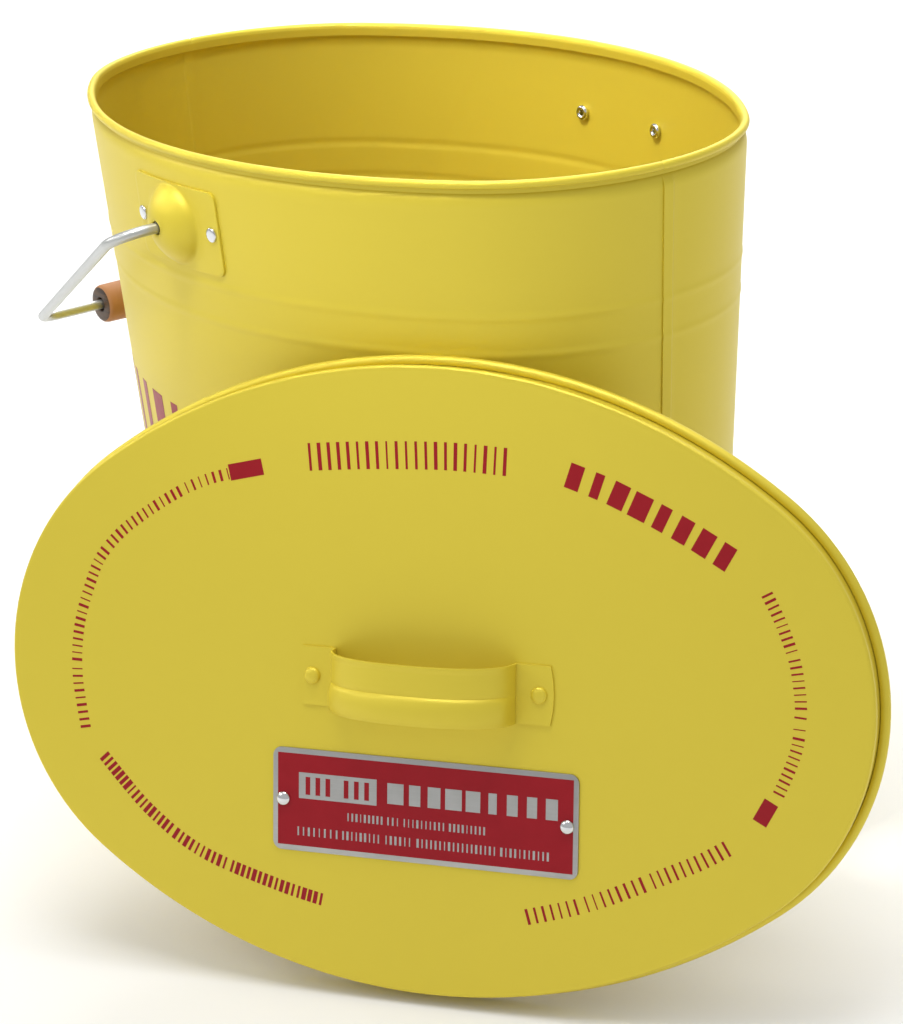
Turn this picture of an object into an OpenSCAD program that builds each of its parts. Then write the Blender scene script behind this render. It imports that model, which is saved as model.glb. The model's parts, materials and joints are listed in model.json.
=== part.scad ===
// Oval lidded pail in painted tinplate, with a swinging wire bail and a wooden grip.
// The pail stands upright. Its lid is off and leans on the wall, with the lid's edge on the floor.

/* [Pail] */
// Half length of the mouth, to the outside of the wall
mouth_a = 190; // [184:3:199]
// Radius of the rounded ends of the mouth
end_r = 100; // [91:3:109]
// Height over the rolled rim
pail_h = 354; // [300:5:380]
// How far the wall draws in from the mouth to the foot
taper = 26; // [10:1:28]
// Thickness of the sheet
sheet = 0.8; // [0.5:0.1:1.0]
// Radius of the rolled rim
rim_r = 1.9; // [1.7:0.1:2.6]
// Height of the foot hoop
foot_h = 11; // [8:1:14]

/* [Swages] */
// Height of the middle of the pressed band
band_z = 284.5; // [200:0.5:284.5]
// Height of the pressed band
band_h = 17; // [12:1:30]
// How far each edge of the band stands out
band_out = 0.3; // [0.2:0.1:1.2]

/* [Ears] */
// Depth of the bail's axis below the rim
ear_drop = 36; // [34:1:45]
// Width of the ear plate
ear_w = 67; // [64:1:78]
// Height of the ear plate
ear_h = 39; // [39:1:48]
// Radius of the ear's pressed dome
dome_r = 19; // [17:0.5:19]
// Height of the dome
dome_h = 10; // [8:0.5:12]
// Distance between the two rivets
ear_pitch = 58; // [55:1:59]

/* [Bail] */
// Diameter of the bail wire
wire_d = 5; // [4:0.5:5.5]
// Angle of the stored bail below the horizontal
stored_deg = 25; // [22:1:34]
// Gap that the stored grip keeps from the wall
stored_gap = 8; // [1:0.5:12]
// Length of wire that stands straight out of the dome
stub = 22; // [22:1:34]
// Half length of the bail's cross wire
cross_half = 95; // [88:1:104]
// Length of the wooden grip
grip_l = 120; // [90:1:124]
// Diameter of the wooden grip
grip_d = 20; // [18:0.5:22]

/* [Lid] */
// Depth of the lid's skirt
skirt_h = 16; // [12:1:22]
// Radius of the lid's rolled edge
lid_bead_r = 2.4; // [2.1:0.1:2.8]
// Play between the rim and the lid's skirt
lid_play = 5.4; // [2:0.2:6]
// Turn of the leaning lid about the vertical
lid_yaw = 34; // [28:1:38]
// Lean of the lid from the vertical
lid_lean = 11; // [8:0.5:14]

/* [Lid handle] */
// Width of the handle strap
strap_w = 26; // [22:1:30]
// Height of the arch over the panel
arch_h = 24; // [20:1:28]
// Length of the arch along the panel
arch_l = 84; // [74:1:90]
// Length of each foot of the strap
tab_l = 15; // [13:1:18]
// Distance between the handle's rivets
handle_pitch = 104; // [100:1:108]

/* [Nameplate] */
// Width of the nameplate
plate_w = 141; // [120:1:144]
// Height of the nameplate
plate_h = 46; // [38:1:48]
// How far the plate's middle sits below the handle
plate_drop = 56; // [50:1:60]

/* [Hidden] */
$fn = 96;
fit = 0.05;
apart = 0.3;

// The oval is four tangent arcs. The centres of a side arc and an end arc are the far corners
// of a 3-4-5 triangle, so the arcs meet on planes through whole-number points.
unit = (mouth_a - end_r) / 3;
end_x = 3 * unit;
side_y = 4 * unit;
side_r = end_r + 5 * unit;
mouth_b = side_r - side_y;
join_deg = atan(3 / 4);
end_deg = 90 - join_deg;

rim_z = pail_h - rim_r;
rim_skin = 0.6;
rim_out = -1.3;
slope = taper / pail_h;
function wall_at(z) = -slope * (pail_h - z);

ear_z = pail_h - ear_drop;
ear_t = 1.0;
ear_seat = wall_at(ear_z) + fit;
dome_y = mouth_b + ear_seat + ear_t + dome_h;
dome_ball = (dome_r * dome_r + dome_h * dome_h) / (2 * dome_h);
rivet_turn = asin(ear_pitch / 2 / side_r);
rivet_r = 2.4;
slope_deg = atan(slope);

wire_r = wire_d / 2;
bail_hole_r = wire_r + 0.7;
bend_r = 14;
shoulder_r = 14.5;
// Reach of the bail that lays its grip on the wall at the stored angle.
bail_reach = (mouth_a + grip_d / 2 + stored_gap - slope * ear_drop) / (cos(stored_deg) + slope * sin(stored_deg));
bail_out_y = dome_y + stub;
leg_deg = atan((bail_out_y - cross_half) / bail_reach);

// The lid is the same oval, larger by an offset, so that it drops over the rolled rim.
lid_inner = rim_out + rim_r + lid_play;
lid_wall = lid_inner + 0.6;
lid_sheet = 0.6;
bead_mid = lid_inner + lid_bead_r;
panel_edge = lid_wall + 1.2;
bead_drop = skirt_h - lid_bead_r;

// The lid stands on the bottom of its rolled edge and leans on the wall where both face the same way.
lid_low = mouth_b + bead_mid;
lid_mid_z = lid_low * cos(lid_lean) + bead_drop * sin(lid_lean) + lid_bead_r;
touch_z = lid_mid_z + lid_low * cos(lid_lean) - bead_drop * sin(lid_lean);
touch_on_end = lid_yaw > join_deg;
touch_r = (touch_on_end ? end_r : side_r) + wall_at(touch_z) + lid_bead_r + apart;
touch_x = (touch_on_end ? end_x : 0) + touch_r * sin(lid_yaw);
touch_y = (touch_on_end ? 0 : side_y) - touch_r * cos(lid_yaw);
lid_back = lid_low * sin(lid_lean) + bead_drop * cos(lid_lean);
lid_x = touch_x + lid_back * sin(lid_yaw);
lid_y = touch_y - lid_back * cos(lid_yaw);

strap_t = 0.9;
plate_t = 0.8;
plate_corner = 4;
plate_pitch = plate_w - 10;

// The origin is the middle of the whole object's footprint.
shift_x = -58;
shift_y = 36;

yellow = [0.84, 0.74, 0.10];
inner_yellow = [0.78, 0.66, 0.10];
zinc = [0.66, 0.67, 0.66];
wood = [0.62, 0.36, 0.16];
bright = [0.78, 0.79, 0.80];
plate_red = [0.62, 0.07, 0.10];

// ---- Helpers ----

module placed() {
  translate([shift_x, shift_y, 0]) children();
}

// Sweeps a profile, whose x is the offset from the mouth's oval, round one arc of the oval.
module end_arc(side) {
  intersection() {
    translate([side * end_x, 0, 0])
      rotate_extrude()
        translate([end_r, 0])
          children();
    translate([side * end_x, 0, -pail_h])
      linear_extrude(3 * pail_h)
        polygon([[0, 0], [side * 6 * unit, 8 * unit], [side * 6 * unit, -8 * unit]]);
  }
}

module side_arc(side) {
  intersection() {
    translate([0, -side * side_y, 0])
      rotate_extrude()
        translate([side_r, 0])
          children();
    translate([0, -side * side_y, -pail_h])
      linear_extrude(3 * pail_h)
        polygon([[0, 0], [9 * unit, side * 12 * unit], [-9 * unit, side * 12 * unit]]);
  }
}

module whole_oval() {
  end_arc(1) children();
  side_arc(1) children();
  end_arc(-1) children();
  side_arc(-1) children();
}

// The half of the oval on the side where y has the given sign.
module half_oval(side) {
  intersection() {
    union() {
      end_arc(1) children();
      side_arc(side) children();
      end_arc(-1) children();
    }
    translate([-3 * mouth_a / 2, side > 0 ? 0 : -3 * mouth_a, -pail_h])
      cube([3 * mouth_a, 3 * mouth_a, 3 * pail_h]);
  }
}

arc_steps = 24;
function arc_points(cx, cy, r, from_deg, to_deg) =
  [for (i = [0:arc_steps - 1]) let (t = from_deg + (to_deg - from_deg) * i / arc_steps) [cx + r * cos(t), cy + r * sin(t)]];

// Outline of the oval, offset outward by d.
function oval_points(d) = concat(
  arc_points(end_x, 0, end_r + d, -end_deg, end_deg),
  arc_points(0, -side_y, side_r + d, 90 - join_deg, 90 + join_deg),
  arc_points(-end_x, 0, end_r + d, 180 - end_deg, 180 + end_deg),
  arc_points(0, side_y, side_r + d, 270 - join_deg, 270 + join_deg)
);

// Section of a round wire, as a polygon of twelve sides.
function round_wire(c, r) = [for (t = [15:30:345]) c + r * [cos(t), sin(t)]];

module rounded_plate(w, h, r) {
  square([w - 2 * r, h], center = true);
  square([w, h - 2 * r], center = true);
  for (sx = [-1, 1], sy = [-1, 1])
    translate([sx * (w / 2 - r), sy * (h / 2 - r)]) circle(r);
}

// ---- Pail ----

curl_steps = 12;
// Points on a curl about a centre, from one angle to another.
function curl(c, r, from_deg, to_deg) =
  [for (i = [0:curl_steps]) let (t = from_deg + (to_deg - from_deg) * i / curl_steps) c + r * [cos(t), sin(t)]];

function reversed(points) = [for (i = [len(points) - 1:-1:0]) points[i]];

// Section of the sheet: straight taper, two pressed rings round the band, and the rolled top edge.
module wall_section() {
  z0 = fit + sheet;
  lower = band_z - band_h / 2;
  upper = band_z + band_h / 2;
  ring = 3;
  curl_low = rim_z - 0.6;
  neck_low = rim_z - 10;
  neck = rim_out - rim_r + rim_skin + 0.1;
  outer = [
    [wall_at(z0), z0],
    [wall_at(lower - ring), lower - ring],
    [wall_at(lower) + band_out, lower],
    [wall_at(lower + ring), lower + ring],
    [wall_at(upper - ring), upper - ring],
    [wall_at(upper) + band_out, upper],
    [wall_at(upper + ring), upper + ring],
    [wall_at(neck_low - 3), neck_low - 3],
    [wall_at(neck_low), neck_low],
    [wall_at(neck_low) - 0.3, neck_low + 2.4],
    [wall_at(neck_low) - 0.8, neck_low + 4.0],
    [neck + 0.15, neck_low + 5.2],
    [neck, neck_low + 6.0],
    [neck, curl_low]
  ];
  inner = [for (p = reversed(outer)) p - [sheet, 0]];
  roll_from = 178;
  roll_to = -115;
  mid = [rim_out, rim_z];
  polygon(concat(
    outer,
    curl(mid, rim_r - rim_skin, roll_from, roll_to),
    reversed(curl(mid, rim_r, roll_from, roll_to)),
    inner
  ));
}

seam_in = 0.9;
seam_w = 6;
seam_deg = seam_w / end_r * 180 / PI;
module seam_section() {
  top = rim_z - 10;
  low = foot_h + 1;
  polygon([
    [wall_at(low) - 0.1, low],
    [wall_at(low) + seam_in, low],
    [wall_at(top) + seam_in, top],
    [wall_at(top) - 0.1, top]
  ]);
}

// One of the two sheets. Its fold at one end stands over the joint between the sheets.
module wall_half(side) {
  color(yellow)
    difference() {
      union() {
        half_oval(side) wall_section();
        translate([side * end_x, 0, 0])
          rotate_extrude(start = side > 0 ? 0 : 180, angle = seam_deg)
            translate([end_r, 0])
              seam_section();
      }
      for (turn = [-1, 1]) ear_rivet_place(side, turn)
        translate([0, 0, -10]) cylinder(h = 20, r = rivet_r + fit);
    }
}

module wall_front() {
  wall_half(-1);
}

module wall_back() {
  wall_half(1);
}

module rim_wire() {
  color(zinc)
    whole_oval()
      polygon(round_wire([rim_out, rim_z], rim_r - rim_skin - fit));
}

// Hoop folded round the bottom edge of the wall, with an inner ledge under the pan.
module foot_hoop() {
  top_out = wall_at(foot_h) + fit;
  low_out = wall_at(0) + fit;
  in_low = wall_at(0) - sheet - fit;
  color(yellow)
    whole_oval()
      polygon([
        [low_out + 1.4, 0],
        [low_out + 2.2, 0.8],
        [low_out + 2.2, foot_h - 3],
        [top_out + 0.8, foot_h],
        [top_out, foot_h],
        [low_out, sheet],
        [in_low, sheet],
        [in_low, foot_h - 5],
        [in_low - 5, foot_h - 5],
        [in_low - 5, foot_h - 5.8],
        [in_low - 0.8, foot_h - 5.8],
        [in_low - 0.8, 0]
      ]);
}

// Flat pan that rests on the hoop's ledge.
module bottom_pan() {
  color(inner_yellow)
    translate([0, 0, foot_h - 5 + fit])
      linear_extrude(1.0)
        polygon(oval_points(wall_at(foot_h - 5) - sheet - 2 * fit));
}

// ---- Ears ----

// Everything between the wall and the given offset from it, round one flat side.
module ear_slab(side, from_off, to_off) {
  low = ear_z - ear_h;
  top = ear_z + ear_h;
  side_arc(side)
    polygon([
      [wall_at(low) + from_off, low],
      [wall_at(low) + to_off, low],
      [wall_at(top) + to_off, top],
      [wall_at(top) + from_off, top]
    ]);
}

module along_y(side) {
  translate([0, 0, ear_z])
    rotate([-90 * side, 0, 0])
      children();
}

module ear(side) {
  base = dome_y - dome_h;
  color(yellow)
    difference() {
      union() {
        intersection() {
          ear_slab(side, fit, fit + ear_t);
          along_y(side)
            translate([0, 0, mouth_b - 20])
              linear_extrude(40) rounded_plate(ear_w, ear_h, 4);
        }
        intersection() {
          union() {
            along_y(side)
              translate([0, 0, base - 6]) cylinder(h = 6, r = dome_r);
            along_y(side)
              translate([0, 0, dome_y])
                rotate_extrude()
                  intersection() {
                    translate([0, -dome_ball]) circle(dome_ball);
                    translate([0, -dome_h]) square([dome_r, dome_h]);
                  }
          }
          ear_slab(side, fit, fit + 30);
        }
      }
      along_y(side)
        translate([0, 0, dome_y - dome_ball])
          difference() {
            sphere(dome_ball - ear_t);
            translate([-2 * dome_ball, -2 * dome_ball, -2 * dome_ball])
              cube([4 * dome_ball, 4 * dome_ball, 3 * dome_ball - dome_h]);
          }
      along_y(side)
        translate([0, 0, base - 20]) cylinder(h = 20.01, r = dome_r - ear_t);
      along_y(side)
        translate([0, 0, dome_y - 6]) cylinder(h = 12, r = bail_hole_r);
      for (turn = [-1, 1]) ear_rivet_place(side, turn)
        translate([0, 0, -10]) cylinder(h = 20, r = rivet_r + fit);
    }
}

// Puts its children on a rivet's axis, at the outer face of the wall, pointing outward.
module ear_rivet_place(side, turn) {
  translate([0, -side * side_y, 0])
    rotate([0, 0, side * 90 - side * turn * rivet_turn])
      translate([side_r + wall_at(ear_z), 0, ear_z])
        rotate([0, 90 + slope_deg, 0])
          children();
}

// Semi-tubular rivet: flat head outside, hollow end rolled over inside.
module ear_rivet(side, turn) {
  head_r = 3.6;
  head_low = fit + ear_t + fit;
  tail = -sheet - fit;
  color(bright)
    ear_rivet_place(side, turn)
      rotate_extrude()
        polygon([
          [0, tail - 0.4],
          [1.2, tail - 1.0],
          [1.4, tail - 2.2],
          [2.6, tail - 2.6],
          [3.8, tail - 1.8],
          [3.9, tail - 0.6],
          [3.4, tail],
          [rivet_r, tail],
          [rivet_r, head_low],
          [head_r, head_low],
          [head_r, head_low + 0.7],
          [head_r - 0.8, head_low + 1.3],
          [0, head_low + 1.5]
        ]);
}

// ---- Bail ----

// The wire's middle line on one side, in the bail's plane: x runs from the axis to the cross wire.
// Each entry is a point and its heading in degrees.
bail_in_y = dome_y - ear_t - 3.4;
bail_head_y = bail_in_y + 1.8;
turn_out = shoulder_r * tan((90 + leg_deg) / 2);
turn_in = bend_r * tan((90 - leg_deg) / 2);
bend_steps = 5;
function bend(r, cx, cy, from_deg, to_deg) =
  [for (i = [0:bend_steps])
    let (t = from_deg + (to_deg - from_deg) * i / bend_steps)
    [cx + r * cos(t), cy + r * sin(t), t - 90]];
function bail_side() = concat(
  [[0, bail_in_y, 90], [0, bail_head_y, 90], [0, bail_head_y, 90]],
  bend(shoulder_r, shoulder_r, bail_out_y - turn_out, 180, 90 - leg_deg),
  bend(bend_r, bail_reach - bend_r, cross_half - turn_in, 90 - leg_deg, 0)
);
function mirrored(path) = [for (p = reversed(path)) [p[0], -p[1], 180 - p[2]]];

// The two ends are upset into heads that can't pass back through the ears.
function bail_radius(i, last) = min(i, last - i) < 2 ? wire_r + 2 : wire_r;

module bail_sweep() {
  path = concat(bail_side(), mirrored(bail_side()));
  last = len(path) - 1;
  sides = 12;
  points = [
    for (i = [0:last], k = [0:sides - 1])
      let (h = path[i][2], t = 360 * k / sides, r = bail_radius(i, last))
      [path[i][0] - r * cos(t) * sin(h), path[i][1] + r * cos(t) * cos(h), r * sin(t)]
  ];
  walls = [
    for (i = [0:last - 1], k = [0:sides - 1])
      let (a = i * sides + k, b = i * sides + (k + 1) % sides)
      [a, b, b + sides, a + sides]
  ];
  caps = [
    [for (k = [sides - 1:-1:0]) k],
    [for (k = [0:sides - 1]) last * sides + k]
  ];
  polyhedron(points, concat(walls, caps), convexity = 6);
}

module bail_frame() {
  translate([0, 0, ear_z])
    rotate([0, stored_deg, 180])
      children();
}

module bail_wire() {
  color(zinc)
    bail_frame() bail_sweep();
}

module grip() {
  bore_r = wire_r + 0.8;
  r = grip_d / 2;
  half = grip_l / 2;
  color(wood)
    bail_frame()
      translate([bail_reach, 0, 0])
        rotate([-90, 0, 0])
          rotate_extrude()
            polygon([
              [bore_r, -half],
              [r - 1.4, -half],
              [r - 0.4, -half + 1],
              [r, -half + 3],
              [r, half - 3],
              [r - 0.4, half - 1],
              [r - 1.4, half],
              [bore_r, half]
            ]);
}

// ---- Lid ----

// Lid coordinates: x along the lid, y across it and z out of its face. z = 0 is the panel's top face.
module lid_frame() {
  translate([lid_x, lid_y, lid_mid_z])
    rotate([0, 0, lid_yaw])
      rotate([90 - lid_lean, 0, 0])
        children();
}

module lid_panel() {
  color(yellow)
    lid_frame()
      translate([0, 0, -lid_sheet])
        linear_extrude(lid_sheet) polygon(oval_points(panel_edge));
}

// Skirt with a flange under the panel and its bottom edge rolled outward over a wire.
module lid_skirt() {
  under = -lid_sheet - fit;
  mid = [bead_mid, -bead_drop];
  roll_from = 178;
  roll_to = 490;
  color(yellow)
    lid_frame()
      whole_oval()
        polygon(concat(
          [[lid_inner - 4, under - lid_sheet], [lid_inner - 4, under], [lid_wall, under], [lid_wall, 2 - bead_drop]],
          curl(mid, lid_bead_r - lid_sheet, roll_from, roll_to),
          reversed(curl(mid, lid_bead_r, roll_from, roll_to)),
          [[lid_inner, 2 - bead_drop], [lid_inner, under - lid_sheet]]
        ));
}

module lid_wire() {
  color(zinc)
    lid_frame()
      whole_oval()
        polygon(round_wire([bead_mid, -bead_drop], lid_bead_r - lid_sheet - fit));
}

// Strap bowed into an arch between two knees, with a flat foot at each end.
bow_steps = 14;
function bow(half, rise) =
  [for (i = [0:bow_steps])
    let (t = 90 * i / bow_steps)
    [half * pow(cos(t), 0.8), rise * pow(sin(t), 0.95)]];

module lid_handle() {
  hole_r = 2.1;
  half = arch_l / 2;
  foot = fit + strap_t;
  rise = arch_h - strap_t;
  outer = [for (p = bow(half, rise + strap_t - foot - 0.6)) p + [0, foot + 0.6]];
  inner = [for (p = bow(half - 1.1, rise - fit - 0.6)) p + [0, fit + 0.6]];
  right = concat(
    [[half + tab_l, fit], [half + tab_l, foot], [half + 0.7, foot]],
    outer
  );
  right_in = concat([[half - 0.5, fit]], inner);
  left = [for (i = [len(right) - 2:-1:0]) [-right[i][0], right[i][1]]];
  left_in = [for (p = right_in) [-p[0], p[1]]];
  right_back = [for (i = [len(right_in) - 2:-1:0]) right_in[i]];
  color(yellow)
    lid_frame()
      difference() {
        rotate([90, 0, 0])
          translate([0, 0, -strap_w / 2])
            linear_extrude(strap_w)
              polygon(concat(right, left, left_in, right_back));
        for (sx = [-1, 1])
          translate([sx * handle_pitch / 2, 0, -1]) cylinder(h = 4, r = hole_r + fit);
      }
}

// Domed rivet standing on the panel or on what it holds down.
module domed_rivet(x, y, seat, shank_r, head_r, head_h) {
  color(bright)
    lid_frame()
      translate([x, y, 0])
        rotate_extrude()
          polygon([
            [0, 0.02],
            [shank_r, 0.02],
            [shank_r, seat + fit],
            [head_r, seat + fit],
            [head_r, seat + fit + 0.25 * head_h],
            [head_r * 0.8, seat + fit + 0.68 * head_h],
            [head_r * 0.45, seat + fit + 0.93 * head_h],
            [0, seat + fit + head_h]
          ]);
}

module handle_rivet(sx) {
  domed_rivet(sx * handle_pitch / 2, 0, fit + strap_t, 2.1, 3.8, 2.2);
}

module nameplate() {
  color(plate_red)
    lid_frame()
      translate([0, -plate_drop, fit])
        difference() {
          linear_extrude(plate_t) rounded_plate(plate_w, plate_h, plate_corner);
          for (sx = [-1, 1])
            translate([sx * plate_pitch / 2, 0, -1]) cylinder(h = 3, r = 1.6 + fit);
        }
}

module plate_rivet(sx) {
  domed_rivet(sx * plate_pitch / 2, -plate_drop, fit + plate_t, 1.6, 3.2, 2.0);
}

placed() wall_front();
placed() wall_back();
placed() rim_wire();
placed() foot_hoop();
placed() bottom_pan();
placed() ear(-1);  // ear_front
placed() ear(1);  // ear_back
placed() ear_rivet(-1, -1);  // ear_rivet_front_left
placed() ear_rivet(-1, 1);  // ear_rivet_front_right
placed() ear_rivet(1, -1);  // ear_rivet_back_left
placed() ear_rivet(1, 1);  // ear_rivet_back_right
placed() bail_wire();
placed() grip();
placed() lid_panel();
placed() lid_skirt();
placed() lid_wire();
placed() lid_handle();
placed() handle_rivet(-1);  // handle_rivet_left
placed() handle_rivet(1);  // handle_rivet_right
placed() nameplate();
placed() plate_rivet(-1);  // plate_rivet_left
placed() plate_rivet(1);  // plate_rivet_right
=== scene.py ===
"""Looks of an oval lidded pail in yellow enamelled tinplate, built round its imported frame.

Sizes are in millimetres in each piece's own axes, and every piece is placed in the row frame, in metres.
"""

from __future__ import annotations

import json
import logging
import math
from dataclasses import dataclass, field
from enum import Enum
from typing import Any, Callable, Iterable, Optional, Sequence, Union

import bmesh
import bpy
from mathutils import Matrix, Vector


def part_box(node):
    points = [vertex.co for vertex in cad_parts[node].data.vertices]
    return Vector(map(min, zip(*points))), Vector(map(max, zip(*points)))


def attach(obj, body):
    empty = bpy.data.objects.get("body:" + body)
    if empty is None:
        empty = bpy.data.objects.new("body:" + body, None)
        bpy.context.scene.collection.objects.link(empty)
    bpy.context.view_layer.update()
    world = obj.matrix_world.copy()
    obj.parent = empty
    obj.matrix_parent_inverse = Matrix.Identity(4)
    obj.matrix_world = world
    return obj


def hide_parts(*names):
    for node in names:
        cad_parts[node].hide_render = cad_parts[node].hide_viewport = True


LOG = logging.getLogger("pail")
MM = 0.001
FULL_TURN = 2 * math.pi

DEFAULT_SHARP = 38.0
ROUND_SHARP = 50.0
EPSILON = 1e-6
FIT = 0.05

Flat = tuple[float, float]
Solid = tuple[float, float, float]
Colour = tuple[float, float, float]
Face = tuple[int, ...]
Number = Union[float, "Maths"]
Settings = Optional[dict[str, Any]]
Inputs = Optional[dict[Union[str, int], Any]]
Mesh = bpy.types.Mesh
Node = bpy.types.Node
Piece = bpy.types.Object
Socket = bpy.types.NodeSocket

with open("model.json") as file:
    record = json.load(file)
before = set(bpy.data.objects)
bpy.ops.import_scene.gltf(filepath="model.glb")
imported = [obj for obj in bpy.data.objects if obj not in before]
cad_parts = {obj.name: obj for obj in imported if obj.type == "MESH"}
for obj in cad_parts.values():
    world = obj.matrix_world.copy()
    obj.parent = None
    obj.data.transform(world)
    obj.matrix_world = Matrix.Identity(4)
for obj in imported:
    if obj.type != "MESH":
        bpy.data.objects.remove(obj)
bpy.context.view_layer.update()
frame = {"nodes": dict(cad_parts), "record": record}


# ---- places


def joint(name: str) -> dict[str, Any]:
    """The row's joint of that name."""
    for entry in frame["record"]["behaviour"]["joints"]:
        if entry["name"] == name:
            return entry
    raise KeyError(name)


def axes_matrix(origin: Vector, along: Vector, up: Vector, out: Vector) -> Matrix:
    """Turns a point in millimetres on three axes into metres in the row frame.

    Args:
        origin: where the axes meet, in metres.
        along: direction of the first axis.
        up: direction of the second axis.
        out: direction of the third axis.

    Returns:
        A 4 by 4 matrix that scales, turns and moves.
    """
    turn = Matrix((along, up, out)).transposed().to_4x4()
    return Matrix.Translation(origin) @ turn @ Matrix.Scale(MM, 4)


def pail_place() -> Matrix:
    """The pail's own axes: x along it, y across it, z up, with z = 0 on the floor."""
    pivot = Vector(joint("bail_swing")["pos_m"])
    return Matrix.Translation((pivot.x, pivot.y, 0.0)) @ Matrix.Scale(MM, 4)


def lid_place() -> Matrix:
    """The lid's own axes: x along it, y up its face, z out of the panel's top face."""
    low, high = (Vector(corner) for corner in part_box("lid_panel"))
    out = Vector(joint("lid_lift_off")["axis"]).normalized()
    along = Vector((0, 0, 1)).cross(out).normalized()
    half_sheet = 0.3 * MM
    return axes_matrix((low + high) / 2 + out * half_sheet, along, out.cross(along), out)


def bail_place() -> Matrix:
    """The bail's own axes: x from its pivot to the grip, y along the grip."""
    pivot = Vector(joint("bail_swing")["pos_m"])
    reach = (Vector(joint("grip_turn")["pos_m"]) - pivot).normalized()
    across = Vector((0, -1, 0))
    return axes_matrix(pivot, reach, across, reach.cross(across))


# ---- meshes


def make_object(name: str, data: bpy.types.ID) -> Piece:
    """Puts a mesh, a light or a camera in the scene as an object at the origin."""
    made = bpy.data.objects.new(name, data)
    bpy.context.scene.collection.objects.link(made)
    return made


def build(
    name: str,
    points: Sequence[Solid],
    faces: Sequence[Face],
    place: Matrix,
    sharp_deg: float = DEFAULT_SHARP,
    slots: Optional[Sequence[int]] = None,
) -> Piece:
    """Makes a closed, outward-facing, smooth-shaded piece.

    Args:
        name: the piece's name.
        points: its vertices in millimetres.
        faces: its faces, as indices into points.
        place: matrix into the row frame.
        sharp_deg: edges bent more than this stay sharp.
        slots: a material slot for each face.
    """
    mesh = bpy.data.meshes.new(name)
    mesh.from_pydata(points, [], faces)
    if slots:
        mesh.polygons.foreach_set("material_index", list(slots))
    mesh.transform(place)
    work = bmesh.new()
    work.from_mesh(mesh)
    bmesh.ops.remove_doubles(work, verts=work.verts, dist=EPSILON)
    bmesh.ops.dissolve_degenerate(work, dist=EPSILON, edges=work.edges)
    bmesh.ops.recalc_face_normals(work, faces=work.faces)
    work.to_mesh(mesh)
    work.free()
    smooth(mesh, sharp_deg)
    return make_object(name, mesh)


def smooth(mesh: Mesh, sharp_deg: float) -> None:
    """Shades a mesh smooth and keeps its sharp edges."""
    mesh.shade_smooth()
    mesh.set_sharp_from_angle(angle=math.radians(sharp_deg))
    mesh.update()


def join_meshes(name: str, parts: Iterable[Mesh], place: Matrix, sharp_deg: float = DEFAULT_SHARP) -> Piece:
    """Joins meshes in millimetres into one piece and places it.

    Args:
        name: the piece's name.
        parts: the meshes, which are removed.
        place: matrix into the row frame.
        sharp_deg: edges bent more than this stay sharp.
    """
    whole = bpy.data.meshes.new(name)
    work = bmesh.new()
    for part in parts:
        work.from_mesh(part)
        bpy.data.meshes.remove(part)
    work.transform(place)
    work.to_mesh(whole)
    work.free()
    smooth(whole, sharp_deg)
    return make_object(name, whole)


def grid_faces(rows: int, columns: int, wrap_rows: bool, wrap_columns: bool) -> list[Face]:
    """Four-sided faces of a grid of points stored row by row."""
    faces = []
    for i in range(rows if wrap_rows else rows - 1):
        for j in range(columns if wrap_columns else columns - 1):
            this, after, beside = i * columns, (i + 1) % rows * columns, (j + 1) % columns
            faces.append((this + j, this + beside, after + beside, after + j))
    return faces


def end_caps(starts: Iterable[int], count: int) -> list[Face]:
    """Four-sided faces that close a flat section of count points, at each of the starts."""
    return [
        (start + i, start + i + 1, start + count - 2 - i, start + count - 1 - i)
        for start in starts
        for i in range(count // 2 - 1)
    ]


def bump_shape(t: float) -> float:
    """A smooth hump: 1 at t = 0, and 0 from t = -1 outward and from t = 1 outward."""
    return math.cos(math.pi * t / 2) ** 2 if abs(t) < 1 else 0.0


def ramp(t: float, low: float, high: float) -> float:
    """Rises smoothly from 0 at low to 1 at high."""
    k = min(1.0, max(0.0, (t - low) / (high - low)))
    return k * k * (3 - 2 * k)


def spread(start: float, end: float, step: float) -> list[float]:
    """Evenly spaced numbers from start to end, both included, no further apart than step."""
    count = max(1, math.ceil(abs(end - start) / step))
    return [start + (end - start) * i / count for i in range(count + 1)]


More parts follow.
